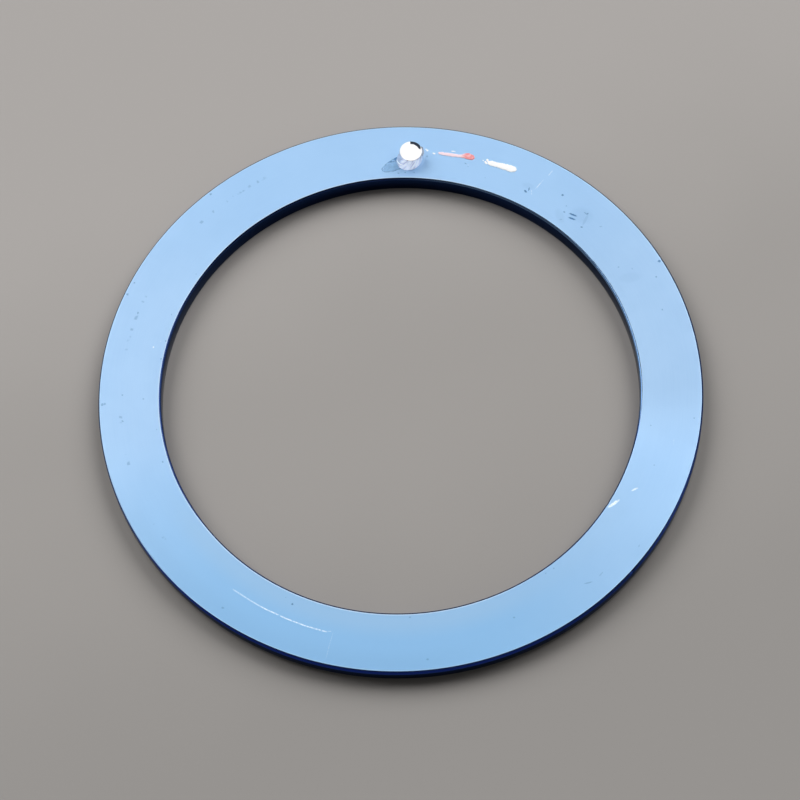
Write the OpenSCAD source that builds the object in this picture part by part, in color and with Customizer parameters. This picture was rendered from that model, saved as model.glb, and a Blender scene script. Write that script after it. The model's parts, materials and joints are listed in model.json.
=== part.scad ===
// Rotating bezel insert of a diver's watch, lying face down with its flat back up.
// Z = 0 is the surface that the front inner rim rests on, and +Y is twelve o'clock.
// All sizes are in millimetres.

/* [Ring] */
// Diameter of the open centre
bore_d = 30.1; // [27:0.1:34]
// Width of the ring from the bore to the outer wall
ring_w = 3.95; // [3.6:0.05:4.4]
// Thickness at the bore
inner_t = 1.3; // [1.15:0.05:1.6]
// Thickness at the outer wall
outer_t = 0.8; // [0.6:0.05:1]
// Width of the small bevel on every turned edge
edge_break = 0.05; // [0.02:0.01:0.08]
// Width of the flat land round the bore that the ring lies on
land_w = 0.15; // [0.1:0.05:0.3]

/* [Luminous pip] */
// Distance from the bore wall to the axis of the pip
pip_inset = 1.55; // [1.45:0.05:2]
// Diameter of the shank inside the hole
shank_d = 1.76; // [1.5:0.02:1.9]
// Step from the shank out to the head, which fills the counterbore in the front
head_step = 0.12; // [0.08:0.02:0.2]
// Step from the shank in to the stem behind the ring
stem_step = 0.18; // [0.16:0.01:0.24]
// Depth of the shoulder below the back face
shoulder_drop = 0.1; // [0.05:0.05:0.2]
// Height of the stem above the back face
stem_proud = 0.9; // [0.7:0.05:1.2]
// Bevel round the end of the stem
stem_bevel = 0.09; // [0.05:0.01:0.15]
// Wall round the cup in the head
cup_wall = 0.12; // [0.08:0.02:0.2]
// Floor under the cup
cup_floor_t = 0.15; // [0.1:0.05:0.2]
// Thickness of the luminous fill
lume_t = 0.25; // [0.15:0.05:0.3]
// Thickness of the lens below its dome
lens_t = 0.1; // [0.06:0.02:0.14]
// Height of the dome above the rim of the cup
dome_h = 0.1; // [0.05:0.01:0.12]
// Gap between the dome and the surface that the ring lies on
dome_gap = 0.02; // [0.01:0.01:0.05]
// Radial gap between the pip and its hole
pip_gap = 0.025; // [0.01:0.005:0.04]

/* [Adhesive] */
// Height of the adhesive that climbs the stem
collar_h = 0.6; // [0.3:0.05:0.65]
// Thickness of the adhesive at the top of the collar
collar_lip = 0.015; // [0.01:0.005:0.03]

/* [Scale] */
// Depth of the pockets that hold the paint
inlay_depth = 0.06; // [0.04:0.01:0.1]
// Bare margin between the scale and the outer wall
rim_margin = 0.45; // [0.3:0.05:0.6]
// Number of minutes from twelve that have a mark each
ticked_minutes = 14; // [4:1:14]
// Width of a minute mark
tick_w = 0.22; // [0.15:0.01:0.3]
// Length of a minute mark
tick_len = 1.0; // [0.6:0.05:1.4]
// Width of a five minute bar
bar_w = 0.75; // [0.5:0.05:0.9]
// Length of a five minute bar
bar_len = 2.3; // [1.8:0.05:2.6]
// Width of the triangle at its outer edge
triangle_w = 3.3; // [2.8:0.1:3.4]
// Bare width between the triangle and the hole for the pip
triangle_gap = 0.12; // [0.08:0.02:0.2]

/* [Hidden] */
$fn = 180;

// Sizes of the ring
bore_r = bore_d / 2;
outer_r = bore_r + ring_w;
land_r = bore_r + edge_break + land_w;
rise = inner_t - outer_t;
slope = rise / (outer_r - land_r);

// Height of the front face at radius r
function front_z(r) = (r - land_r) * slope;

// Levels and places of the pip
pip_r = bore_r + pip_inset;
rim_z = dome_gap + dome_h;
lume_z = rim_z + lens_t;
cup_floor_z = lume_z + lume_t;
seat_z = cup_floor_z + cup_floor_t;
shoulder_z = inner_t - shoulder_drop;
stem_top = inner_t + stem_proud;
shank_r = shank_d / 2;
head_r = shank_r + head_step;
stem_r = shank_r - stem_step;
cup_r = head_r - cup_wall;
hole_r = shank_r + pip_gap;
counterbore_r = head_r + pip_gap;
cut = 1;

// Places of the marks: the hour positions that carry a bar, and the minutes that carry a tick
full_turn_minutes = 60;
bar_minutes = [5, 15, 25, 35, 45, 55];
tick_minutes = [for (m = [1 : ticked_minutes]) if (m % 5 != 0) m];
scale_r = outer_r - rim_margin;

// Turns its children to a minute of the scale, which runs clockwise as seen from the front
module at_minute(minute) {
    rotate([0, 0, 90 + minute * 360 / full_turn_minutes]) children();
}

// Puts its children on the axis of the pip
module at_pip() {
    translate([0, pip_r, 0]) children();
}

// Cylinder of radius r between two levels
module level_disc(r, low, high) {
    translate([0, 0, low]) cylinder(r = r, h = high - low);
}

// Band that follows the front face, from a depth outside it to a depth inside it
module front_band(outside, inside) {
    rotate_extrude()
        polygon([
            [land_r, -outside],
            [outer_r, front_z(outer_r) - outside],
            [outer_r, front_z(outer_r) + inside],
            [land_r, inside]
        ]);
}

// Radial mark that ends on the scale circle
module radial_mark(minute, width, length) {
    at_minute(minute)
        translate([scale_r - length, -width / 2, 0])
            linear_extrude(height = inner_t)
                square([length, width]);
}

module tick_marks() {
    for (m = tick_minutes) radial_mark(m, tick_w, tick_len);
}

module bar_marks() {
    for (m = bar_minutes) radial_mark(m, bar_w, bar_len);
}

// Triangle that points at the bore, with a round bite that leaves the pip a bare margin
module triangle_mark() {
    difference() {
        at_minute(0)
            linear_extrude(height = inner_t)
                polygon([
                    [pip_r - counterbore_r, 0],
                    [scale_r, -triangle_w / 2],
                    [scale_r, triangle_w / 2]
                ]);
        at_pip() level_disc(counterbore_r + triangle_gap, -cut, inner_t + cut);
    }
}

// Solid of revolution of the ring before it is drilled and engraved
module turned_ring() {
    rotate_extrude()
        polygon([
            [bore_r, edge_break],
            [bore_r + edge_break, 0],
            [land_r, 0],
            [outer_r - edge_break, front_z(outer_r - edge_break)],
            [outer_r, rise + edge_break],
            [outer_r, inner_t - edge_break],
            [outer_r - edge_break, inner_t],
            [bore_r + edge_break, inner_t],
            [bore_r, inner_t - edge_break]
        ]);
}

// Stepped hole: counterbored from the front for the head, drilled through for the shank
module pip_hole() {
    at_pip() {
        level_disc(counterbore_r, -cut, seat_z);
        level_disc(hole_r, -cut, inner_t + cut);
    }
}

module insert_ring() {
    color([0.40, 0.62, 0.88])
        difference() {
            turned_ring();
            pip_hole();
            intersection() {
                front_band(cut, inlay_depth);
                union() {
                    tick_marks();
                    bar_marks();
                    triangle_mark();
                }
            }
        }
}

// Turned steel setting: head with a cup, shank and bevelled stem
module pip_cup() {
    color([0.86, 0.87, 0.88])
        at_pip()
            difference() {
                union() {
                    level_disc(head_r, rim_z, seat_z);
                    level_disc(shank_r, rim_z, shoulder_z);
                    level_disc(stem_r, rim_z, stem_top - stem_bevel);
                    translate([0, 0, stem_top - stem_bevel])
                        cylinder(r1 = stem_r, r2 = stem_r - stem_bevel, h = stem_bevel);
                }
                level_disc(cup_r, rim_z - cut, cup_floor_z);
            }
}

// Disc of luminous compound on the floor of the cup
module pip_lume() {
    color([0.90, 0.93, 0.80])
        at_pip() level_disc(cup_r, lume_z, cup_floor_z);
}

// Clear lens: a plug in the mouth of the cup with a shallow dome that points away from the back
module pip_lens() {
    dome_r = (pow(cup_r, 2) + pow(dome_h, 2)) / (2 * dome_h);
    color([0.85, 0.92, 0.95, 0.5])
        at_pip()
            union() {
                level_disc(cup_r, rim_z, lume_z);
                intersection() {
                    translate([0, 0, rim_z - dome_h + dome_r]) sphere(r = dome_r);
                    level_disc(cup_r, rim_z - dome_h - cut, rim_z);
                }
            }
}

// Cured adhesive: fills the hole above the shoulder and climbs the stem as a hollow fillet
module pip_adhesive() {
    top_r = stem_r + collar_lip;
    steps = 8;
    color([0.78, 0.80, 0.90])
        at_pip()
            rotate_extrude()
                polygon(concat(
                    [[stem_r, inner_t + collar_h],
                     [stem_r, shoulder_z],
                     [hole_r, shoulder_z],
                     [hole_r, inner_t]],
                    [for (i = [0 : steps])
                        let (a = 90 * i / steps)
                        [shank_r - (shank_r - top_r) * sin(a),
                         inner_t + collar_h * (1 - cos(a))]]
                ));
}

// Paint that fills a set of pockets flush with the front face
module paint_fill() {
    color([0.90, 0.90, 0.86])
        intersection() {
            front_band(0, inlay_depth);
            children();
        }
}

module scale_triangle() {
    paint_fill() triangle_mark();
}

module scale_bars() {
    paint_fill() bar_marks();
}

module scale_ticks() {
    paint_fill() tick_marks();
}

insert_ring();
pip_cup();
pip_lume();
pip_lens();
pip_adhesive();
scale_triangle();
scale_bars();
scale_ticks();
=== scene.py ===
# Back of a rotating bezel insert for a diver's watch, lying face down on a plain floor.
import json
import math
import random
from functools import reduce
from types import SimpleNamespace

import bmesh
import bpy
from mathutils import Matrix, Quaternion, Vector
from mathutils import noise as field


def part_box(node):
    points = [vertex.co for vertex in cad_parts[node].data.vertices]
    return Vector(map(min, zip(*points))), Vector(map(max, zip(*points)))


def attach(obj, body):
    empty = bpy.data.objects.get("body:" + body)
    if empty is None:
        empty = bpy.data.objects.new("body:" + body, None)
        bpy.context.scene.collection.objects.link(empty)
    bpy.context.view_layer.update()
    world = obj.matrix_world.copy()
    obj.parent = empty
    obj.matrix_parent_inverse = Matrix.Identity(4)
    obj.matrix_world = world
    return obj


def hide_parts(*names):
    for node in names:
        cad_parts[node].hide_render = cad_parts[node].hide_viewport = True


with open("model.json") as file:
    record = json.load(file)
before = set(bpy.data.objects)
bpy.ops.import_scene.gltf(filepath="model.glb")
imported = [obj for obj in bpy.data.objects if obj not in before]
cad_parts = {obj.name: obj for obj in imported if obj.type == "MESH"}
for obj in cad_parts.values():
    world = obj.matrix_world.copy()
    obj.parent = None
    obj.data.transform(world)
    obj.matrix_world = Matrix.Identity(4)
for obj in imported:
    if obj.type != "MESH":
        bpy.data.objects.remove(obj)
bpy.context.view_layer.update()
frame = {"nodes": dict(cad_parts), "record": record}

# The studio: a plain grey table under two broad soft lamps, in a dim room.
# The lamps stand behind the ring to its left and right, so its short shadows fall forwards.
# Shapes are made in millimetres here, and become metres as they are turned into meshes.
MM = 0.001
mounts = {mount["name"]: mount for mount in frame["record"]["mounts"]}
back_z = mounts["back_face"]["pos_m"][2] / MM
camera_azimuth = math.radians(-83.5)
camera_elevation = math.radians(64.727)
camera_distance = 197.27
camera_roll = math.radians(-4.39)
# In pixels of the frame: focal length, width, and the ring's centre above the middle.
focal_px = 3141.0
image_px = 800
centre_up_px = 11.15
# Brightness of the room, and what is added round its horizon, except behind the camera.
room_level = 0.12
horizon_level = 0.30
# Each lamp: azimuth, elevation and width in degrees, and strength.
lamps = [(144, 44.5, 48, 1.92), (50, 44.5, 48, 1.92)]
floor_half = 3000.0
# Painted light: the table goes from its darker tone to its lighter one over this distance.
floor_fade = 30.0
floor_tone = (0.332, 0.314, 0.299)
floor_dark_tone = (0.283, 0.269, 0.256)
floor_light_tone = (0.392, 0.370, 0.354)


class Wire:
    """An output of a shader node. Sums and products of wires add Math nodes."""

    def __init__(self, tree, socket=None):
        self.tree = tree
        self.socket = socket

    def add(self, kind, settings=None, sockets=None, out=0):
        """Adds a node: its settings come first, then the values or wires of its sockets."""
        node = self.tree.nodes.new("ShaderNode" + kind)
        for name, value in (settings or {}).items():
            setattr(node, name, value)
        for name, value in (sockets or {}).items():
            if isinstance(value, Wire):
                self.tree.links.new(value.socket, node.inputs[name])
            else:
                node.inputs[name].default_value = value
        return Wire(self.tree, node.outputs[out] if node.outputs else None)

    def maths(self, operation, first, second=0.0):
        return self.add("Math", {"operation": operation}, {0: first, 1: second})

    def __add__(self, other):
        return self.maths("ADD", self, other)

    def __radd__(self, other):
        return self.maths("ADD", other, self)

    def __sub__(self, other):
        return self.maths("SUBTRACT", self, other)

    def __rsub__(self, other):
        return self.maths("SUBTRACT", other, self)

    def __mul__(self, other):
        return self.maths("MULTIPLY", self, other)

    def __rmul__(self, other):
        return self.maths("MULTIPLY", other, self)

    def __truediv__(self, other):
        return self.maths("DIVIDE", self, other)


def new_material(name):
    """An empty material, and the wire that its nodes start from."""
    material = bpy.data.materials.new(name)
    material.use_nodes = True
    material.node_tree.nodes.clear()
    return material, Wire(material.node_tree)


def ramp(value, low, high):
    """Goes smoothly from 0 at low to 1 at high."""
    sockets = {"Value": value, "From Min": low, "From Max": high}
    return value.add("MapRange", {"interpolation_type": "SMOOTHSTEP"}, sockets)


def tint(factor, first, second):
    """The first colour where the factor is 0, and the second where it is 1."""
    first, second = (c if isinstance(c, Wire) else (*c, 1.0) for c in (first, second))
    return factor.add("Mix", {"data_type": "RGBA"}, {0: factor, 6: first, 7: second}, out=2)


def place_in_mm(start):
    """Object coordinates in millimetres."""
    metres = start.add("TexCoord", out="Object")
    return start.add("VectorMath", {"operation": "SCALE"}, {0: metres, "Scale": 1 / MM})


def axes(vector):
    """The three parts of a vector."""
    return [vector.add("SeparateXYZ", None, {0: vector}, out=axis) for axis in range(3)]


def noise(vector, scale, detail=2.0, stretch=(1, 1, 1)):
    """Noise from 0 to 1, with that many cells per millimetre along stretched axes."""
    moved = vector.add("Mapping", None, {"Vector": vector, "Scale": stretch})
    return vector.add("TexNoise", None, {"Vector": moved, "Scale": scale, "Detail": detail})


def finish_material(start, values, bump=None, bump_depth=0.0):
    """Adds the shader with these values, and a bump of so many millimetres."""
    if bump:
        sockets = {"Height": bump, "Strength": 1.0, "Distance": bump_depth * MM}
        values = {**values, "Normal": start.add("Bump", None, sockets)}
    shader = start.add("BsdfPrincipled", None, values)
    start.add("OutputMaterial", None, {"Surface": shader})


def make_object(bm, name, material):
    """Turns a bmesh in millimetres into an object in metres, with smooth shading."""
    bmesh.ops.recalc_face_normals(bm, faces=bm.faces[:])
    bmesh.ops.scale(bm, vec=(MM, MM, MM), verts=bm.verts[:])
    for face in bm.faces:
        face.smooth = True
    mesh = bpy.data.meshes.new(name)
    bm.to_mesh(mesh)
    bm.free()
    mesh.materials.append(material)
    made = bpy.data.objects.new(name, mesh)
    bpy.context.scene.collection.objects.link(made)
    return made


def direction(azimuth, elevation=0.0):
    """Unit vector towards an azimuth from +X and an elevation above the table."""
    flat = math.cos(elevation)
    return Vector((flat * math.cos(azimuth), flat * math.sin(azimuth), math.sin(elevation)))


def table_grey():
    """Matt grey table, with painted light: a little lighter away from the camera."""
    material, start = new_material("table_grey")
    vector = place_in_mm(start)
    x, y = axes(vector)[:2]
    # Painted light: lighter away from the camera, mixed with a faint mottle.
    far = ramp(y - x * 0.35, -floor_fade, floor_fade)
    grain = noise(vector, 6.0, 4.0)
    clouds = noise(vector, 0.06)
    shade = far + (clouds - 0.5) * 0.25 + (grain - 0.5) * 0.06
    dark_half = tint(ramp(shade, 0.0, 0.5), floor_dark_tone, floor_tone)
    colour = tint(ramp(shade, 0.5, 1.0), dark_half, floor_light_tone)
    finish_material(start, {"Base Color": colour, "Roughness": 0.75})
    return material


bm = bmesh.new()
bmesh.ops.create_grid(bm, x_segments=1, y_segments=1, size=floor_half)
make_object(bm, "table", table_grey())

world = bpy.data.worlds.new("room")
bpy.context.scene.world = world
world.use_nodes = True
world.node_tree.nodes.clear()
start = Wire(world.node_tree)
x, y, z = axes(start.add("TexCoord", out="Generated"))
away = direction(camera_azimuth + math.pi)
glow = ramp(z, 0.50, 0.12) * ramp(x * away.x + y * away.y, -0.6, -0.1) * horizon_level
room = start.add("Background", None, {"Color": tint(glow + room_level, (0, 0, 0), (1, 1, 1))})
start.add("OutputWorld", None, {"Surface": room})

for azimuth, elevation, width, strength in lamps:
    lamp = bpy.data.objects.new("soft_lamp", bpy.data.lights.new("soft_lamp", "SUN"))
    lamp.data.energy = strength
    lamp.data.angle = math.radians(width)
    lamp_side = direction(math.radians(azimuth), math.radians(elevation))
    lamp.rotation_mode = "QUATERNION"
    lamp.rotation_quaternion = (-lamp_side).to_track_quat("-Z", "Y")
    bpy.context.scene.collection.objects.link(lamp)

camera = bpy.data.objects.new("camera", bpy.data.cameras.new("camera"))
camera.data.lens = focal_px / image_px * camera.data.sensor_width
camera.data.clip_start = 0.01
camera.data.clip_end = 20.0
backwards = direction(camera_azimuth, camera_elevation)
looking = (-backwards).to_track_quat("-Z", "Y") @ Quaternion((0, 0, 1), camera_roll)
looking @= Quaternion((1, 0, 0), -math.atan(centre_up_px / focal_px))
camera.rotation_mode = "QUATERNION"
camera.rotation_quaternion = looking
camera.location = (Vector((0, 0, back_z)) + backwards * camera_distance) * MM
bpy.context.scene.collection.objects.link(camera)
bpy.context.scene.camera = camera
bpy.context.scene.view_settings.view_transform = "Standard"

# The insert: a turned aluminium ring with a flat back and a sloping front, anodised blue.
# The back is lapped to a pale satin blue, and the walls and the front are glossy and deep.
# The hole for the pip is stepped, and the front has shallow pockets that hold paint.
bore_r = mounts["bore"]["dims"]["r_mm"]
outer_r = mounts["outer_rim"]["dims"]["r_mm"]
pip_y = mounts["pip_stem"]["pos_m"][1] / MM
pip_axis = Vector((0, pip_y, 0))
front_rise = 0.5
land_w = 0.15
edge_round = 0.05
land_r = bore_r + edge_round + land_w
outer_bevel = 0.105
inner_bevel = 0.09
bevel_round = 0.015
edge_flat = 0.03
slope_flat = 0.1
ring_steps = 960
hole_steps = 128
round_segments = 5
sharp_angle = math.radians(32)
merge_gap = 1e-5
cad_merge_gap = 1e-4
pocket_depth = 0.06
hole_r = 0.905
counterbore_r = 1.025
seat_z = 0.62
hole_cut = 1
digit_height = 2.0
# Height of the font's figures as a share of its size.
digit_share = 0.7
digit_spacing = 1.05
digit_r = 17.1
digit_weight = 0.02
digit_step = 10
full_turn_minutes = 60
cutter_reach = 0.4
nick_reach = 0.3
nick_drop = 0.8
fine_nick_width = 0.26
# Nicks in the edges of the back: azimuth in degrees, radius of the edge, width and depth.
edge_nicks = [
    (30.4, outer_r, 0.30, 0.030), (-39.0, outer_r, 0.34, 0.040), (79.2, bore_r, 0.24, 0.015),
    (82.1, bore_r, 0.22, 0.012), (133.0, bore_r, 0.26, 0.015), (-29.3, bore_r, 0.50, 0.030),
]
near_nicks = 46
other_nicks = 40
dice = random.Random(7)
for _ in range(near_nicks):
    azimuth = dice.uniform(-62, 42)
    edge_nicks.append((azimuth, outer_r, fine_nick_width, dice.uniform(0.004, 0.014)))
for _ in range(other_nicks):
    edge_r = dice.choice((bore_r, outer_r))
    azimuth = dice.uniform(0, 360)
    edge_nicks.append((azimuth, edge_r, fine_nick_width, dice.uniform(0.003, 0.009)))
# Bright scratches and flecks on the back: azimuth, radius, length, width, tilt from the
# tangent in degrees, and strength.
bright_marks = [
    (-23.5, 16.12, 0.50, 0.12, -38, 0.9), (-28.8, 15.42, 0.95, 0.20, -24, 1.0),
    (85.0, 17.03, 0.18, 0.14, 0, 0.8), (86.6, 17.22, 0.16, 0.20, 60, 0.8),
    (80.9, 17.38, 0.30, 0.07, 0, 0.5), (60.6, 17.05, 0.95, 0.05, 84, 0.7),
    (60.0, 18.15, 0.55, 0.05, 86, 0.6), (-101.5, 17.6, 1.9, 0.05, 90, 0.25),
    (171.1, 15.96, 0.10, 0.10, 0, 0.9), (-10.3, 17.45, 0.50, 0.06, 5, 0.25),
    (-102.3, 16.75, 0.25, 0.06, 20, 0.5), (169.3, 15.6, 0.08, 0.08, 0, 0.5),
    (77.0, 16.6, 0.10, 0.06, 0, 0.4), (61.1, 16.30, 0.40, 0.07, -60, 0.35),
    (-39.0, 18.93, 0.30, 0.09, 0, 0.8),
]
# Dark dents and specks on the back, in the same form.
dark_marks = [
    (50.15, 16.53, 0.60, 0.14, 18, 1.2), (49.7, 16.27, 0.54, 0.13, 20, 1.2),
    (48.3, 17.15, 0.40, 0.09, 3, 0.6), (47.3, 16.80, 0.95, 0.22, -70, 0.25),
    (46.6, 16.24, 0.16, 0.13, 0, 0.8), (48.0, 17.22, 0.14, 0.12, 0, 0.8),
    (52.1, 16.32, 0.13, 0.11, 0, 0.7), (55.0, 17.23, 0.18, 0.15, 30, 1.0),
    (52.7, 16.75, 0.12, 0.08, 0, 0.6), (51.5, 15.75, 0.22, 0.10, 60, 0.4),
    (62.4, 16.16, 0.28, 0.15, -20, 1.1), (62.0, 16.42, 0.32, 0.09, -75, 0.9),
    (43.8, 17.17, 0.22, 0.10, 50, 0.35), (33.5, 16.27, 0.12, 0.10, 0, 0.45),
    (31.6, 16.95, 0.14, 0.10, 0, 0.3), (30.4, 18.74, 0.20, 0.24, 0, 1.0),
    (27.6, 18.02, 0.14, 0.12, 0, 0.8), (20.2, 17.45, 0.13, 0.11, 0, 0.7),
    (77.7, 16.67, 0.18, 0.08, -20, 0.7), (77.0, 16.48, 0.10, 0.07, 0, 0.4),
    (92.9, 15.47, 0.15, 0.08, 0, 0.5), (91.3, 15.52, 0.13, 0.07, 0, 0.6),
    (89.2, 15.54, 0.16, 0.08, 0, 0.4), (86.5, 16.87, 0.12, 0.08, 40, 0.15),
    (-34.0, 18.22, 0.22, 0.10, 10, 0.25), (-46.5, 17.52, 0.60, 0.10, -28, 0.45),
    (-43.4, 17.64, 0.38, 0.09, 5, 0.35), (-50.0, 15.45, 0.12, 0.10, 0, 0.5),
    (-52.2, 15.41, 0.11, 0.09, 0, 0.4), (-82.2, 18.15, 0.20, 0.14, 0, 0.45),
    (-85.2, 15.36, 0.15, 0.11, 0, 0.5), (-112.0, 15.82, 0.16, 0.14, 0, 0.9),
    (-114.0, 15.6, 0.10, 0.08, 0, 0.3), (-124.0, 18.15, 0.20, 0.14, 20, 0.5),
    (-175.0, 18.75, 0.22, 0.16, 0, 0.6), (184.9, 18.60, 0.20, 0.20, 0, 0.5),
    (160.8, 18.76, 0.18, 0.16, 0, 0.6), (158.0, 18.70, 0.12, 0.12, 0, 0.7),
    (133.5, 18.72, 0.20, 0.14, 0, 0.6), (200.5, 15.55, 0.16, 0.11, 0, 0.6),
    (192.1, 15.45, 0.10, 0.08, 0, 0.4), (173.8, 15.30, 0.13, 0.09, 0, 0.6),
    (169.0, 15.28, 0.12, 0.08, 0, 0.6), (162.0, 15.55, 0.12, 0.08, 0, 0.5),
    (150.0, 15.50, 0.11, 0.07, 0, 0.4), (164.0, 17.62, 0.22, 0.10, 10, 0.6),
    (-171.0, 17.52, 0.20, 0.10, 30, 0.5), (72.3, 16.0, 0.12, 0.07, 0, 0.3),
    (48.6, 16.9, 1.60, 1.20, 20, 0.10), (52.2, 15.9, 1.20, 0.60, -30, 0.09),
    (62.5, 16.6, 0.90, 0.50, 10, 0.08), (30.0, 16.5, 1.60, 0.80, 70, 0.07),
]
# Faint rows of chatter marks on one circle of the back: middle azimuth and half width.
chatter_r = 17.62
chatter_sectors = [(215.0, 2.6), (197.5, 2.2), (188.5, 1.2), (166.0, 7.5), (132.0, 10.5)]
# The long scratch, a circular arc near the lower edge: azimuths in degrees.
long_scratch_r = 16.82
long_scratch_mid = -113.8
long_scratch_half = 11.3
long_scratch_taper = 0.8
long_scratch_width = 0.070
long_scratch_gap = -113.4
# Painted shade: the back is deeper on the side of near_azimuth, and its face stops shortest at
# lowest_azimuth.
near_azimuth = math.radians(-83.5)
lowest_azimuth = near_azimuth + math.radians(10)
# Radius at which the ring is unrolled for the streaks that follow its turning.
polar_r = 17.0
black = (0.0, 0.0, 0.0)
# Tones of the lapped back, its painted shade and edge highlights, and its dark and bright marks.
back_tones = (0.390, 0.612, 0.905), (0.425, 0.652, 0.945)
streak_tone = (0.50, 0.73, 0.98)
near_shade_tone = (0.325, 0.630, 1.0)
near_inner_tone = (0.345, 0.540, 0.770)
far_shade_tone = (0.292, 0.506, 0.784)
outer_edge_highlight_tone = (0.56, 0.78, 0.99)
inner_edge_highlight_tone = (0.70, 0.84, 1.0)
dent_tone = (0.045, 0.150, 0.340)
bare_tone = (0.80, 0.88, 0.97)
# Tones of the walls and the front, and of the back's bevels with their painted light and
# highlights.
deep_tones = (0.010, 0.026, 0.095), (0.014, 0.034, 0.125)
bevel_tone = (0.030, 0.064, 0.210)
near_bevel_tone = (0.033, 0.084, 0.540)
far_bevel_highlight_tone = (0.18, 0.23, 0.34)
bevel_highlight_tone = (0.22, 0.38, 0.62)
grazing_tint = (0.55, 0.58, 0.62, 1.0)


def turned(profile, steps, centre=(0, 0, 0)):
    """A solid of revolution. Each corner has a radius, a height and, if rounded, a round."""
    bm = bmesh.new()
    verts = [bm.verts.new((corner[0], 0, corner[1])) for corner in profile]
    bm.faces.new(verts)
    for vert, corner in zip(verts, profile):
        if len(corner) == 3:
            bmesh.ops.bevel(
                bm, geom=[vert], offset=corner[2], offset_type="OFFSET", affect="VERTICES",
                segments=round_segments, profile=0.5, material=-1,
            )
    bmesh.ops.delete(bm, geom=bm.faces[:], context="FACES_ONLY")
    on_axis = [edge for edge in bm.edges if all(vert.co.x < merge_gap for vert in edge.verts)]
    bmesh.ops.delete(bm, geom=on_axis, context="EDGES")
    bmesh.ops.spin(
        bm, geom=bm.verts[:] + bm.edges[:], cent=(0, 0, 0), axis=(0, 0, 1),
        angle=math.tau, steps=steps, use_merge=True,
    )
    bmesh.ops.remove_doubles(bm, verts=bm.verts[:], dist=merge_gap)
    bmesh.ops.recalc_face_normals(bm, faces=bm.faces[:])
    bmesh.ops.translate(bm, vec=centre, verts=bm.verts[:])
    return bm


def joined(parts):
    """One bmesh from several, which are freed."""
    whole = bmesh.new()
    for part in parts:
        mesh = bpy.data.meshes.new("part")
        part.to_mesh(mesh)
        part.free()
        whole.from_mesh(mesh)
        bpy.data.meshes.remove(mesh)
    return whole


def front_z(radius):
    """Height of the sloping front at a radius."""
    return (radius - land_r) * front_rise / (outer_r - land_r)


def deepened(node_name):
    """The paint of a CAD node in millimetres, drawn out through the front as a cutter."""
    bm = bmesh.new()
    bm.from_mesh(frame["nodes"][node_name].data)
    bmesh.ops.scale(bm, vec=(1 / MM, 1 / MM, 1 / MM), verts=bm.verts[:])
    bmesh.ops.remove_doubles(bm, verts=bm.verts[:], dist=cad_merge_gap)
    for vert in bm.verts:
        if vert.co.z < front_z(vert.co.xy.length) + pocket_depth / 2:
            vert.co.z -= cutter_reach
    return bm


def digits(text, azimuth, low, high):
    """A number on the sloping front, its top outwards, between two depths below the face."""
    curve = bpy.data.curves.new("digits", "FONT")
    curve.body = text
    curve.size = digit_height / digit_share
    curve.align_x = "CENTER"
    curve.align_y = "CENTER"
    curve.offset = digit_weight
    curve.space_character = digit_spacing
    curve.extrude = (high - low) / 2
    curve.resolution_u = 6
    made = bpy.data.objects.new("digits", curve)
    mesh = bpy.data.meshes.new_from_object(made)
    bm = bmesh.new()
    bm.from_mesh(mesh)
    bpy.data.objects.remove(made)
    bpy.data.meshes.remove(mesh)
    bmesh.ops.remove_doubles(bm, verts=bm.verts[:], dist=merge_gap)
    sides = [vert.co.x for vert in bm.verts]
    bmesh.ops.translate(bm, vec=(-(min(sides) + max(sides)) / 2, 0, 0), verts=bm.verts[:])
    lean = math.atan2(front_rise, outer_r - land_r)
    middle = Vector((0, digit_r, front_z(digit_r) + (low + high) / 2))
    place = Matrix.Rotation(azimuth - math.pi / 2, 4, "Z") @ Matrix.Translation(middle)
    turn = Matrix.Rotation(lean, 4, "X") @ Matrix.Rotation(math.pi, 4, "Y")
    bmesh.ops.transform(bm, matrix=place @ turn, verts=bm.verts[:])
    bmesh.ops.recalc_face_normals(bm, faces=bm.faces[:])
    return bm


def scale_digits(low, high):
    """All the numbers of the scale, every ten minutes from the pip."""
    parts = []
    for minute in range(digit_step, full_turn_minutes, digit_step):
        azimuth = math.pi / 2 + math.tau * minute / full_turn_minutes
        parts.append(digits(str(minute), azimuth, low, high))
    return joined(parts)


def as_object(bm, name):
    """An object in millimetres that only serves a modifier, and is removed after it."""
    mesh = bpy.data.meshes.new(name)
    bm.to_mesh(mesh)
    bm.free()
    made = bpy.data.objects.new(name, mesh)
    bpy.context.scene.collection.objects.link(made)
    return made


def modified(made, kind, settings):
    """The bmesh that a modifier makes of an object."""
    modifier = made.modifiers.new("step", kind)
    for name, value in settings.items():
        setattr(modifier, name, value)
    graph = bpy.context.evaluated_depsgraph_get()
    result = bmesh.new()
    result.from_mesh(made.evaluated_get(graph).to_mesh())
    return result


def less(solid, cutter):
    """What is left of a solid where another is taken out of it. Both are freed."""
    body, tool = as_object(solid, "body"), as_object(cutter, "tool")
    settings = {"operation": "DIFFERENCE", "solver": "MANIFOLD", "object": tool}
    result = modified(body, "BOOLEAN", settings)
    for used in (body, tool):
        bpy.data.objects.remove(used)
    return result


def even_shading(made):
    """Keeps the broad faces flat in their shading beside small rounds."""
    made.data.set_sharp_from_angle(angle=sharp_angle)
    weighted = made.modifiers.new("even_shading", "WEIGHTED_NORMAL")
    weighted.mode = "FACE_AREA_WITH_ANGLE"
    weighted.weight = 100
    weighted.keep_sharp = True


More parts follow.
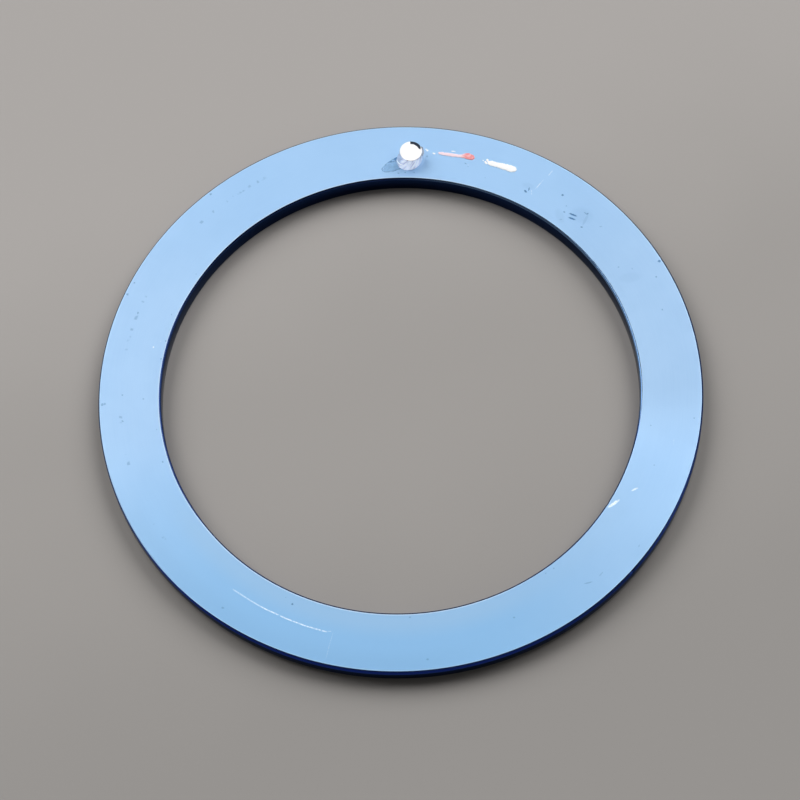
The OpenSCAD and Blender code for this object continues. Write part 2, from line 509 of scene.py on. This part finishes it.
def press_nick(bm, azimuth, edge_r, width, depth):
    """Pushes an edge of the back into the metal and down, round one point."""
    middle = direction(math.radians(azimuth)) * edge_r + Vector((0, 0, back_z))
    into_metal = 1 if edge_r == bore_r else -1
    for vert in bm.verts:
        away = (vert.co - middle).length / (width / 2)
        if away < 1:
            outwards = Vector((vert.co.x, vert.co.y, 0)).normalized()
            push = depth * (1 - away * away)
            vert.co += outwards * into_metal * push - Vector((0, 0, push * nick_drop))


def either(first, second):
    """The stronger of two masks."""
    return first.maths("MAXIMUM", first, second)


def absolute(value):
    """How far a value is from 0."""
    return value.maths("ABSOLUTE", value)


def towards(at, azimuth):
    """From 1 on the side of the ring at an azimuth to -1 on the opposite side."""
    heading = direction(azimuth)
    return (at.x * heading.x + at.y * heading.y) / at.radius


def ring_place(start):
    """Where a point of the ring lies, in millimetres and round the ring, by several measures."""
    at = SimpleNamespace(vector=place_in_mm(start))
    at.x, at.y, at.z = axes(at.vector)
    at.radius = start.maths("SQRT", at.x * at.x + at.y * at.y)
    at.azimuth = start.maths("ARCTAN2", at.y, at.x)
    along = {"X": at.radius, "Y": at.azimuth * polar_r, "Z": at.z}
    at.polar = start.add("CombineXYZ", None, along)
    at.forwards = towards(at, near_azimuth)
    at.sideways = towards(at, near_azimuth + math.pi / 2)
    return at


def ragged(vector):
    """The same place, shifted a little at random, which makes the outlines of marks uneven."""
    cells = {"Vector": vector, "Scale": 14.0, "Detail": 2.0}
    sockets = {0: vector.add("TexNoise", None, cells, out=1), 1: (0.5, 0.5, 0.5)}
    centred = vector.add("VectorMath", {"operation": "SUBTRACT"}, sockets)
    shift = vector.add("VectorMath", {"operation": "SCALE"}, {0: centred, "Scale": 0.10})
    return vector.add("VectorMath", {"operation": "ADD"}, {0: vector, 1: shift})


def spots(vector, marks):
    """Mask of long soft marks, each at its azimuth and radius."""
    masks = []
    for azimuth, radius, length, width, tilt, strength in marks:
        sockets = {
            "Vector": vector,
            "Location": direction(math.radians(azimuth)) * radius,
            "Rotation": (0, 0, math.radians(azimuth + tilt)),
            "Scale": (width / 2, length / 2, 1000.0),
        }
        local = vector.add("Mapping", {"vector_type": "TEXTURE"}, sockets)
        away = vector.add("VectorMath", {"operation": "LENGTH"}, {0: local}, out="Value")
        masks.append(ramp(away, 1.15, 0.55) * strength)
    return reduce(either, masks)


def bare_marks(at, marked):
    """Mask of the marks that show bare metal. The long one is broken, and fainter past a gap."""
    half = math.radians(long_scratch_half)
    full = math.radians(long_scratch_half - long_scratch_taper)
    ends = ramp(absolute(at.azimuth - math.radians(long_scratch_mid)), half, full)
    wander = (noise(at.polar, 0.9, 2.0, (0.0, 1.0, 0.0)) - 0.5) * 0.12
    off = absolute(at.radius + wander - long_scratch_r)
    core = ramp(off, long_scratch_width * 0.75, long_scratch_width * 0.25)
    gap = math.radians(long_scratch_gap)
    broken = ramp(noise(at.polar, 5.0, 3.0, (0.4, 1.0, 0.0)), 0.20, 0.50)
    broken = broken * ramp(absolute(at.azimuth - gap), 0.002, 0.007)
    broken = broken * (0.6 + 0.4 * ramp(at.azimuth, gap - 0.09, gap - 0.06))
    bright = either(spots(marked, bright_marks), core * ends * broken * 0.8)
    return bright * ramp(noise(at.vector, 11.0, 2.0), 0.30, 0.50)


def dark_flaws(at, marked):
    """Mask of the dents, the rows of chatter marks and the scattered specks."""
    sectors = []
    for middle, half in chatter_sectors:
        limit = math.cos(math.radians(half))
        sectors.append(ramp(towards(at, math.radians(middle)), limit, 1 - (1 - limit) * 0.6))
    row = ramp(absolute(at.radius - chatter_r), 0.13, 0.05)
    beats = ramp(noise(at.polar, 2.6, 1.0, (0.5, 1.0, 0.0)), 0.52, 0.66)
    chatter = reduce(either, sectors) * row * beats
    cells = {"Vector": marked, "Scale": 0.75, "Randomness": 1.0}
    speck = ramp(marked.add("TexVoronoi", None, cells), 0.055, 0.03)
    chance = axes(marked.add("TexVoronoi", None, cells, out="Color"))[0]
    specks = speck * ramp(chance, 0.62, 0.70)
    return either(either(spots(marked, dark_marks), chatter * 0.42), specks * 0.5)


def lapped_edges(at):
    """How far a point lies inside the outer and the inner edge of the lapped face.

    The face stops short of its bevels, by a width that varies round the ring, as painted shade.
    """
    # Painted shade and light: the dark bevel colour reaches further in on some sides, less far on
    # the left.
    outer_shade_band = ramp(towards(at, lowest_azimuth), 0.3, 1.0) * 0.085
    outer_shade_band = outer_shade_band - ramp(at.sideways, -0.45, -0.95) * 0.05
    right_shade_band = ramp(at.sideways, 0.4, 0.7) * 0.045 + ramp(at.sideways, 0.75, 0.95) * 0.022
    near_shade_band = ramp(at.forwards, 0.5, 0.8) * 0.018
    inner_shade_band = either(right_shade_band * ramp(at.forwards, 0.40, 0.0), near_shade_band)
    inner_shade_band = either(inner_shade_band, ramp(at.sideways, -0.8, -0.95) * 0.045)
    to_outer = (outer_r - outer_bevel) - at.radius - outer_shade_band
    to_inner = at.radius - inner_shade_band - (bore_r + inner_bevel)
    return to_outer, to_inner


def back_tone(at, clouds, streaks, nearness, to_outer, to_inner):
    """Pale blue lapped back: painted shade deepens it to its near side, painted highlights pale its
    edges.
    """
    pale = tint(ramp(clouds, 0.3, 0.7), *back_tones)
    pale = tint(ramp(streaks, 0.35, 0.65) * 0.10, pale, streak_tone)
    # Painted shade: deeper and darker to the near side, darker at both sides and on the far side.
    pale = tint(nearness, pale, near_shade_tone)
    right = ramp(at.sideways, 0.25, 0.9) * ramp(at.forwards, 0.38, 0.05)
    pale = tint(right * 0.15, pale, black)
    pale = tint(ramp(at.sideways, -0.4, -0.9) * 0.09, pale, black)
    pale = tint(ramp(at.forwards, 0.2, 1.0) * 0.20, pale, black)
    pale = tint(ramp(at.forwards, -0.4, -0.9) * 0.5, pale, far_shade_tone)
    # Painted shade on the near side: a greyer inner half and a slightly darker outer half.
    inner_half = ramp(at.radius, 17.0, 15.6) * (1 - ramp(at.sideways, 0.2, 0.6) * 0.6)
    pale = tint(inner_half * ramp(at.forwards, 0.3, 0.6) * 0.5, pale, near_inner_tone)
    outer_half = ramp(at.radius, 17.2, 18.5) * ramp(at.sideways, 0.3, -0.1)
    pale = tint(outer_half * ramp(at.forwards, 0.2, 0.5) * 0.05, pale, black)
    # Painted highlights: paler bands along the outer and the inner edge of the face.
    pale = tint(ramp(to_outer, 0.07, 0.01) * 0.4, pale, outer_edge_highlight_tone)
    inner_edge = ramp(to_inner, 0.09, 0.02) * (1 - ramp(at.sideways, 0.2, 0.6) * 0.85)
    return tint(inner_edge * 0.5, pale, inner_edge_highlight_tone)


def wall_tone(at, clouds, nearness):
    """Deep blue of the walls and the front, with bevels that carry painted light and highlights."""
    deep = tint(ramp(clouds, 0.3, 0.7), *deep_tones)
    outside = ramp(at.radius, 17.0, 17.1)
    on_outer_bevel = ramp(at.radius, outer_r - outer_bevel - 0.005, outer_r - outer_bevel)
    bevel = ramp(at.z, back_z - 0.12, back_z - 0.10) * either(on_outer_bevel, 1 - outside)
    # Painted light: the outer bevel is bluer on the near side.
    bevelled = tint(outside * nearness, bevel_tone, near_bevel_tone)
    # Painted highlights: a paler inner bevel on the right, and a paler outer bevel on the far side.
    bevel_highlight = ramp(at.sideways, 0.0, 0.4) * ramp(at.forwards, 0.3, 0.1) * (1 - outside)
    bevelled = tint(bevel_highlight * 0.8, bevelled, bevel_highlight_tone)
    bevelled = tint(ramp(at.forwards, -0.2, -0.8) * outside, bevelled, far_bevel_highlight_tone)
    return tint(bevel, deep, bevelled)


def anodised_blue():
    """Pale satin back with its marks, and deep glossy walls and front."""
    material, start = new_material("anodised_blue")
    at = ring_place(start)
    marked = ragged(at.vector)
    to_outer, to_inner = lapped_edges(at)
    face = ramp(at.z, back_z - 0.06, back_z - 0.05) * ramp(to_outer, -0.005, 0.005)
    face = face * ramp(to_inner, -0.005, 0.005)
    clouds = noise(at.vector, 0.22, 3.0)
    streaks = noise(at.polar, 1.0, 3.0, (22.0, 0.35, 1.0))
    grain = noise(at.vector, 34.0, 3.0)
    # Mask of the painted shade and light on the near side of the ring.
    nearness = ramp(at.forwards, 0.0, 0.9) * (1 - 0.6 * ramp(at.sideways, 0.2, 0.8))

    bright = bare_marks(at, marked)
    pale = back_tone(at, clouds, streaks, nearness, to_outer, to_inner)
    pale = tint(dark_flaws(at, marked) * 0.8, pale, dent_tone)
    pale = tint(bright, pale, bare_tone)
    flanks = ramp(absolute(at.sideways), 0.4, 0.8)
    rough = 0.34 + (grain - 0.5) * 0.10 + bright * 0.2
    values = {
        "Base Color": tint(face, wall_tone(at, clouds, nearness), pale),
        "Roughness": rough - (1 - face) * (0.10 + flanks * 0.10),
        "Metallic": 1 - face * (0.65 - bright * 0.3),
        "Specular Tint": grazing_tint,
    }
    finish_material(start, values, grain * 0.35 + streaks * 0.5, 0.004)
    return material


profile = [
    (bore_r, 0, edge_round), (land_r, 0, edge_round),
    (land_r + slope_flat, front_z(land_r + slope_flat)),
    (outer_r - slope_flat, front_z(outer_r - slope_flat)),
    (outer_r, front_rise, edge_round), (outer_r, back_z - outer_bevel, bevel_round),
    (outer_r - outer_bevel, back_z, bevel_round), (outer_r - outer_bevel - edge_flat, back_z),
    (outer_r - nick_reach, back_z), (bore_r + nick_reach, back_z),
    (bore_r + inner_bevel + edge_flat, back_z), (bore_r + inner_bevel, back_z, bevel_round),
    (bore_r, back_z - inner_bevel, bevel_round),
]
bm = turned(profile, ring_steps)
for nick in edge_nicks:
    press_nick(bm, *nick)
pip_hole = [
    (0, -hole_cut), (counterbore_r, -hole_cut), (counterbore_r, seat_z), (hole_r, seat_z),
    (hole_r, back_z + hole_cut), (0, back_z + hole_cut),
]
cutters = [turned(pip_hole, hole_steps, pip_axis), scale_digits(-cutter_reach, pocket_depth)]
cutters += [deepened(name) for name in ("scale_triangle", "scale_bars", "scale_ticks")]
ring = make_object(less(bm, joined(cutters)), "insert_ring_back", anodised_blue())
even_shading(ring)
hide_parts("insert_ring")
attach(ring, "root")

# The setting of the pip: one turned piece of polished steel with a cup in its head.
# Its shank fits the hole in the ring, and its thinner stem stands out behind the back.
pip_low, pip_high = (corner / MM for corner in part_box("pip_cup"))
stem_r = mounts["pip_stem"]["dims"]["r_mm"]
head_step = 0.12
cup_wall = 0.12
lens_t = 0.1
lume_t = 0.25
shoulder_drop = 0.1
head_r = (pip_high.x - pip_low.x) / 2
shank_r = head_r - head_step
cup_r = head_r - cup_wall
rim_z = pip_low.z
stem_top = pip_high.z
lume_z = rim_z + lens_t
cup_floor_z = lume_z + lume_t
shoulder_z = back_z - shoulder_drop
stem_flare = 0.020
stem_bevel = 0.010
pip_steps = 144
# The dark crescent on the end of the stem, a painted reflection: azimuths in degrees, and radii.
crescent_from, crescent_to = 12, 97.5
crescent_in, crescent_out = 0.50, 0.74
steel_tone = (0.93, 0.93, 0.94)
smudge_tone = (0.74, 0.76, 0.80)
dark_reflection_tone = (0.030, 0.040, 0.060)


def pip_steel():
    """Polished steel with fine turning marks, and a painted dark reflection on the end of the stem.
    """
    material, start = new_material("pip_steel")
    vector = place_in_mm(start)
    x, y, z = axes(vector)
    dy = y - pip_y
    away = start.maths("SQRT", x * x + dy * dy)
    turn = start.maths("ARCTAN2", dy, x)
    middle = math.radians((crescent_from + crescent_to) / 2)
    half = math.radians((crescent_to - crescent_from) / 2)
    within = ramp(absolute(turn - middle), half, half * 0.95)
    wobble = (noise(vector, 5.0) - 0.5) * 0.05
    tail = ramp(turn, middle, middle - half)
    tip = ramp(turn, middle - half * 0.65, middle - half)
    inner = tail * 0.02 + tip * 0.06 + wobble + crescent_in
    band = ramp(away - inner, 0.0, 0.03)
    band = band * ramp(away + tail * 0.06 + tip * 0.04, crescent_out + 0.01, crescent_out - 0.01)
    crescent = within * band * ramp(z, stem_top - 0.1, stem_top - 0.05)
    end = ramp(z, stem_top - 0.05, stem_top - 0.02)
    round_axis = start.add("CombineXYZ", None, {"X": away, "Y": turn * 0.05, "Z": z})
    rings = noise(round_axis, 30.0, 2.0)
    smudge = ramp(noise(vector, 3.0, 3.0), 0.40, 0.75)
    # Painted reflection: the dark crescent on the end of the stem.
    colour = tint(crescent, tint(smudge * 0.25, steel_tone, smudge_tone), dark_reflection_tone)
    rough = 0.10 + smudge * 0.10 + end * 0.22
    values = {"Base Color": colour, "Roughness": rough, "Metallic": 1.0}
    finish_material(start, values, rings, 0.002)
    return material


profile = [
    (0, cup_floor_z), (cup_r, cup_floor_z, 0.02), (cup_r, rim_z, 0.02), (head_r, rim_z, 0.03),
    (head_r, seat_z, 0.015), (shank_r, seat_z, 0.02), (shank_r, shoulder_z, 0.015),
    (stem_r, shoulder_z, 0.02), (stem_r, stem_top - stem_flare * 3),
    (stem_r + stem_flare, stem_top - stem_flare), (stem_r + stem_flare, stem_top - stem_bevel),
    (stem_r + stem_flare - stem_bevel, stem_top), (0, stem_top),
]
setting = make_object(turned(profile, pip_steps, pip_axis), "pip_setting", pip_steel())
even_shading(setting)
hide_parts("pip_cup")
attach(setting, "root")

# The luminous filling of the cup and its clear lens, both seen from the front only.
# The compound is a cast grainy disc, and the lens a plug with a low polished dome.
dome_h = 0.1
dome_steps = 8
lume_tones = (0.80, 0.86, 0.66), (0.90, 0.94, 0.78)
lens_tone = (0.90, 0.95, 0.97, 1.0)


def lume_green():
    """Pale grainy compound."""
    material, start = new_material("lume")
    grain = noise(place_in_mm(start), 18.0, 4.0)
    colour = tint(ramp(grain, 0.35, 0.65), *lume_tones)
    finish_material(start, {"Base Color": colour, "Roughness": 0.8}, grain, 0.006)
    return material


def lens_clear():
    """Clear polished resin with faint polishing marks."""
    material, start = new_material("lens")
    rough = 0.04 + ramp(noise(place_in_mm(start), 6.0, 3.0), 0.45, 0.8) * 0.12
    finish_material(start, {"Base Color": lens_tone, "Roughness": rough, "Alpha": 0.3})
    return material


filling = [(0, lume_z), (cup_r, lume_z, 0.01), (cup_r, cup_floor_z, 0.015), (0, cup_floor_z)]
lume = make_object(turned(filling, pip_steps, pip_axis), "lume_filling", lume_green())
dome_r = (cup_r * cup_r + dome_h * dome_h) / (2 * dome_h)
plug = []
for step in range(dome_steps + 1):
    reach = cup_r * step / dome_steps
    plug.append((reach, rim_z - dome_h + dome_r - math.sqrt(dome_r * dome_r - reach * reach)))
plug += [(cup_r, lume_z), (0, lume_z)]
lens = make_object(turned(plug, pip_steps, pip_axis), "lens_dome", lens_clear())
for piece, node, finish in ((lume, "pip_lume", "lume"), (lens, "pip_lens", "lens")):
    piece.data.set_sharp_from_angle(angle=sharp_angle)
    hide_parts(node)
    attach(piece, "root")

# The adhesive: clear resin that fills the hole above the shoulder and climbs the stem.
# It dried with wrinkles down its side, and a film of it ran out over the back.
collar_h = 0.8
collar_lip = 0.015
collar_steps = 14
collar_margin = 0.001
skirt_heading = math.radians(220)
skirt_near, skirt_far = 0.72, 1.03
skirt_fall = 1.3
wrinkle_scale = 5.0
wrinkle_depth = 0.03
bead_azimuth = math.radians(6)
bead_r, bead_z = 0.765, 2.06
bead_half = (0.10, 0.42, 0.11)
bead_unevenness = 0.25
# Where the painted shade of the flanks and the painted highlight of the ridge lie.
left_flank_azimuth = math.radians(190)
right_flank_azimuth = math.radians(-12)
ridge_turn = -3.20
collar_flare = 0.03
collar_sharp_angle = math.radians(50)
smear_t = 0.03
# How far the undersides of the film and of the dabs lie below the back.
sunk = 0.004
# Tones of the resin's streaks and of the painted glow in them, of its film, and where it is flush.
resin_tones = (0.24, 0.26, 0.34), (0.40, 0.44, 0.55)
painted_glow_tones = (0.32, 0.36, 0.44), (0.56, 0.655, 0.84)
film_tones = (0.27, 0.53, 0.75), (0.09, 0.24, 0.49)
flush_tone = (0.39, 0.61, 0.89)
# Tones of the resin and its painted glow, under painted shade at its flanks and top, and a painted
# highlight on its ridge.
flank_tones = (0.16, 0.24, 0.34), (0.18, 0.25, 0.39)
ridge_highlight_tones = (0.55, 0.60, 0.66), (0.70, 0.80, 0.92)
shade_tones = (0.14, 0.16, 0.22), (0.23, 0.29, 0.38)
# Corners of the film's outline, from the axis of the pip.
smear_outline = [
    (-0.60, 0.24), (-0.88, 0.10), (-1.26, -0.14), (-1.58, -0.41), (-1.84, -0.72), (-1.93, -0.93),
    (-1.76, -1.08), (-1.42, -1.11), (-1.03, -1.01), (-0.66, -0.86), (-0.30, -0.50),
]
smear_rings = (1.0, 0.97, 0.92, 0.84, 0.7, 0.5, 0.25, 0.02)
smear_bulge = 8
corner_cuts = 3


def wrinkled_resin():
    """Glossy resin with slanting streaks and a painted glow, and blue where it fills the hole."""
    material, start = new_material("adhesive")
    x, y, z = axes(place_in_mm(start))
    turn = start.maths("ARCTAN2", y - pip_y, x)
    rise = z - back_z
    slant = {"X": turn * 0.88 - rise * 0.6, "Y": rise * 0.3, "Z": 0.0}
    streaks = noise(start.add("CombineXYZ", None, slant), 4.6, 2.0)
    lit = ramp(streaks, 0.32, 0.66)
    colour = tint(lit, *resin_tones)
    # Painted light: an emitted glow in the streaks, standing in for light through the resin.
    glow = tint(lit, *painted_glow_tones)
    # Painted shade at the flanks and the top, and a painted highlight along a slanting ridge.
    left_flank = ramp(start.maths("COSINE", turn - left_flank_azimuth), 0.80, 0.96) * 0.8
    right_flank = ramp(start.maths("COSINE", turn - right_flank_azimuth), 0.80, 0.97) * 0.6
    ridge = ramp(absolute(turn - rise * 3.3 - ridge_turn), 0.10, 0.04)
    ridge = ridge * ramp(rise, 0.34, 0.28) * ramp(rise, 0.06, 0.10)
    shade = ramp(start.maths("COSINE", turn - bead_azimuth), 0.70, 0.85) * ramp(rise, 0.45, 0.62)
    flanks = either(left_flank, right_flank)
    for mask, tones in ((flanks, flank_tones), (ridge, ridge_highlight_tones), (shade, shade_tones)):
        colour = tint(mask, colour, tones[0])
        glow = tint(mask, glow, tones[1])
    # Painted light: the glow is kept to the near side of the collar.
    glow = tint(ramp(start.maths("COSINE", turn - near_azimuth), -0.5, 0.2), black, glow)
    flush = ramp(rise, 0.006, 0.002)
    colour = tint(flush, colour, flush_tone)
    glow = tint(flush, glow, black)
    values = {
        "Base Color": colour, "Roughness": 0.5 - flush * 0.16, "Metallic": flush * 0.35,
        "Specular IOR Level": 0.25, "Emission Color": glow, "Emission Strength": 1.0,
    }
    finish_material(start, values, streaks * (1 - flush), 0.03)
    return material


def smeared_film():
    """Thin clear film, a little darker along its rim and in patches on its far side."""
    material, start = new_material("adhesive_film")
    vector = place_in_mm(start)
    x, y, z = axes(vector)
    patches = noise(vector, 4.5, 3.0)
    edge = ramp(z, back_z + smear_t * 0.8, back_z + smear_t * 0.3)
    far_side = ramp(y - pip_y - x * 0.55 + (patches - 0.5) * 0.5, 0.25, 0.55)
    deeper = either(edge * 0.28, far_side * ramp(patches, 0.35, 0.55))
    alpha = 0.30 + deeper * 0.40 + (patches - 0.5) * 0.3
    values = {"Base Color": tint(deeper, *film_tones), "Roughness": 0.15, "Alpha": alpha}
    finish_material(start, values, patches, 0.01)
    return material


top_r = stem_r + collar_lip
collar = [(stem_r, back_z + collar_h), (stem_r, shoulder_z), (hole_r, shoulder_z), (hole_r, back_z)]
for step in range(collar_steps + 1):
    level = step / collar_steps
    collar.append((top_r + collar_flare * (1 - level), back_z + collar_h * level))
bm = turned(collar, pip_steps, pip_axis)
for vert in bm.verts:
    spoke = Vector((vert.co.x, vert.co.y - pip_y, 0))
    outside = stem_r + collar_lip / 2 < spoke.length < hole_r - collar_margin
    if outside and vert.co.z > back_z - collar_margin:
        turn = math.atan2(spoke.y, spoke.x)
        level = (vert.co.z - back_z) / collar_h
        spread = (0.5 + 0.5 * math.cos(turn - skirt_heading)) ** 3
        foot = skirt_near + (skirt_far - skirt_near) * spread
        reach = top_r + (foot - top_r) * (1 - level) ** skirt_fall
        slanted = Vector((math.cos(turn - level), math.sin(turn - level), level * 0.35))
        wrinkle = field.noise(slanted * wrinkle_scale) * wrinkle_depth
        reach += wrinkle * min(1.0, (1 - level) * 6)
        vert.co = pip_axis + spoke.normalized() * reach + Vector((0, 0, vert.co.z))
bead = bmesh.new()
bmesh.ops.create_icosphere(bead, subdivisions=4, radius=1.0)
for vert in bead.verts:
    x, y, z = vert.co * (1 + bead_unevenness * field.noise(vert.co * 1.3))
    spoke = direction(bead_azimuth + y * bead_half[1]) * (bead_r + x * bead_half[0])
    vert.co = pip_axis + spoke + Vector((0, 0, bead_z + z * bead_half[2]))
collar_piece = make_object(joined([bm, bead]), "adhesive_collar", wrinkled_resin())
collar_piece.data.set_sharp_from_angle(angle=collar_sharp_angle)
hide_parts("pip_adhesive")

# The film and the dabs below get their uneven outlines from noise vectors with this seed.
field.seed_set(7)
outline = [Vector((x, y, 0)) + pip_axis for x, y in smear_outline]
for _ in range(corner_cuts):
    sides = list(zip(outline, outline[1:] + outline[:1]))
    outline = [here.lerp(after, share) for here, after in sides for share in (0.25, 0.75)]
for point in outline:
    point += 0.05 * field.noise_vector(point * 3.0) + 0.02 * field.noise_vector(point * 9.0)
middle = sum(outline, Vector()) / len(outline)
bm = bmesh.new()
rings = []
for share in smear_rings:
    height = back_z - sunk + (smear_t + sunk) * (1 - share ** smear_bulge)
    shrunk = [middle.lerp(point, share) for point in outline]
    rings.append([bm.verts.new((point.x, point.y, height)) for point in shrunk])
for outer, inner in zip(rings, rings[1:]):
    for step in range(len(outer)):
        after = (step + 1) % len(outer)
        bm.faces.new((outer[step], outer[after], inner[after], inner[step]))
bm.faces.new(rings[-1])
bm.faces.new(reversed(rings[0]))
smear = make_object(bm, "adhesive_smear", smeared_film())
for piece in (collar_piece, smear):
    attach(piece, "root")

# Two dabs of paint on the back beside the pip, a thin pink one with a red end and a white one.
# They were put on by hand with a fine brush, so their outlines are uneven.
white = (0.98, 0.98, 0.98)
pink = (0.95, 0.73, 0.80)
red = (0.88, 0.28, 0.29)
dab_t = 0.035
dab_voxel = 0.018
dab_swell = 0.06
dab_smoothings = 2
drop_steps = 5
# Strokes of drops that run into each other: azimuth in degrees, radius and size of each drop.
red_strokes = [[
    (83.8, 17.10, 0.09), (83.2, 17.10, 0.11), (82.5, 17.08, 0.12), (81.7, 17.09, 0.11),
    (80.9, 17.09, 0.12), (80.0, 17.10, 0.11), (79.2, 17.11, 0.10), (78.7, 17.15, 0.14),
    (78.2, 17.20, 0.18), (77.6, 17.21, 0.22), (77.1, 17.20, 0.22), (76.7, 17.20, 0.17),
]]
white_strokes = [[
    (72.7, 17.15, 0.14), (72.2, 17.15, 0.18), (71.6, 17.16, 0.19), (71.0, 17.17, 0.18),
    (70.4, 17.19, 0.19), (69.7, 17.20, 0.22), (69.0, 17.22, 0.22), (68.3, 17.23, 0.24),
    (67.7, 17.24, 0.23), (67.2, 17.27, 0.18),
]]
fleck_strokes = [
    [(73.35, 17.28, 0.09), (73.15, 17.22, 0.06)], [(73.7, 17.13, 0.06), (73.3, 17.03, 0.065)],
    [(74.2, 17.18, 0.045)], [(85.2, 17.04, 0.05), (84.9, 17.02, 0.045)], [(86.6, 17.22, 0.05)],
    [(86.9, 17.30, 0.04)], [(81.3, 17.37, 0.035), (80.6, 17.38, 0.03)],
]


def dab(strokes, name, material, unevenness):
    """Drops of paint along strokes, as one skin."""
    bm = bmesh.new()
    drops = []
    for stroke in strokes:
        drops.append(stroke[0])
        for first, second in zip(stroke, stroke[1:]):
            for step in range(1, drop_steps + 1):
                drops.append([a + (b - a) * step / drop_steps for a, b in zip(first, second)])
    for azimuth, radius, drop in drops:
        centre = direction(math.radians(azimuth)) * radius
        place = Matrix.Translation(centre) @ Matrix.Scale(drop, 4)
        bmesh.ops.create_icosphere(bm, subdivisions=3, radius=1.0, matrix=place)
    for vert in bm.verts:
        shift = field.noise_vector(vert.co * 9.0) + 0.6 * field.noise_vector(vert.co * 24.0)
        vert.co += shift * unevenness
    lumps = as_object(bm, "lumps")
    skin = modified(lumps, "REMESH", {"mode": "VOXEL", "voxel_size": dab_voxel})
    bpy.data.objects.remove(lumps)
    for vert in skin.verts:
        level = vert.co.z
        vert.co.z = back_z - sunk
        if level > 0:
            vert.co.z += dab_t * (1 - math.exp(-level / dab_swell))
    for _ in range(dab_smoothings):
        bmesh.ops.smooth_vert(
            skin, verts=skin.verts[:], factor=0.5, use_axis_x=True, use_axis_y=True, use_axis_z=True
        )
    piece = make_object(skin, name, material)
    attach(piece, "root")


def dab_paint(name, plain, blush):
    """Thick paint. The blush comes in along +X, where the pink dab ends in red."""
    material, start = new_material(name)
    vector = place_in_mm(start)
    blotches = noise(vector, 5.0, 3.0)
    redder = ramp(axes(vector)[0] + (blotches - 0.5) * 0.5, 3.1, 3.6)
    redder = redder * (1 - 0.5 * ramp(blotches, 0.45, 0.65))
    values = {"Base Color": tint(redder, plain, blush), "Roughness": 0.4}
    finish_material(start, values, blotches, 0.01)
    return material


dab(red_strokes, "paint_dab_red", dab_paint("paint_red", pink, red), 0.045)
dab(white_strokes, "paint_dab_white", dab_paint("paint_white", white, white), 0.05)
dab(fleck_strokes, "paint_flecks", dab_paint("paint_fleck", white, white), 0.02)

# The scale on the hidden front: pale paint rubbed into shallow engraved pockets.
# The marks are the CAD's own pieces, and the numbers are made here as the same inlay.
digit_sunk = 0.002
paint_tones = (0.78, 0.78, 0.73), (0.88, 0.88, 0.84)
stain_tone = (0.66, 0.65, 0.58)


def scale_paint():
    """Matt filler paint with a fine dry grain."""
    material, start = new_material("scale_paint")
    vector = place_in_mm(start)
    grain = noise(vector, 22.0, 4.0)
    stain = noise(vector, 1.2, 2.0)
    colour = tint(ramp(grain, 0.3, 0.7), *paint_tones)
    colour = tint(ramp(stain, 0.5, 0.8) * 0.3, colour, stain_tone)
    finish_material(start, {"Base Color": colour, "Roughness": 0.7}, grain, 0.005)
    return material


paint = scale_paint()
numbers = make_object(scale_digits(digit_sunk, pocket_depth), "scale_numbers", paint)
numbers.data.set_sharp_from_angle(angle=sharp_angle)
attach(numbers, "root")
for name in ("scale_triangle", "scale_bars", "scale_ticks"):
    marks = frame["nodes"][name].data
    marks.materials.clear()
    marks.materials.append(paint)
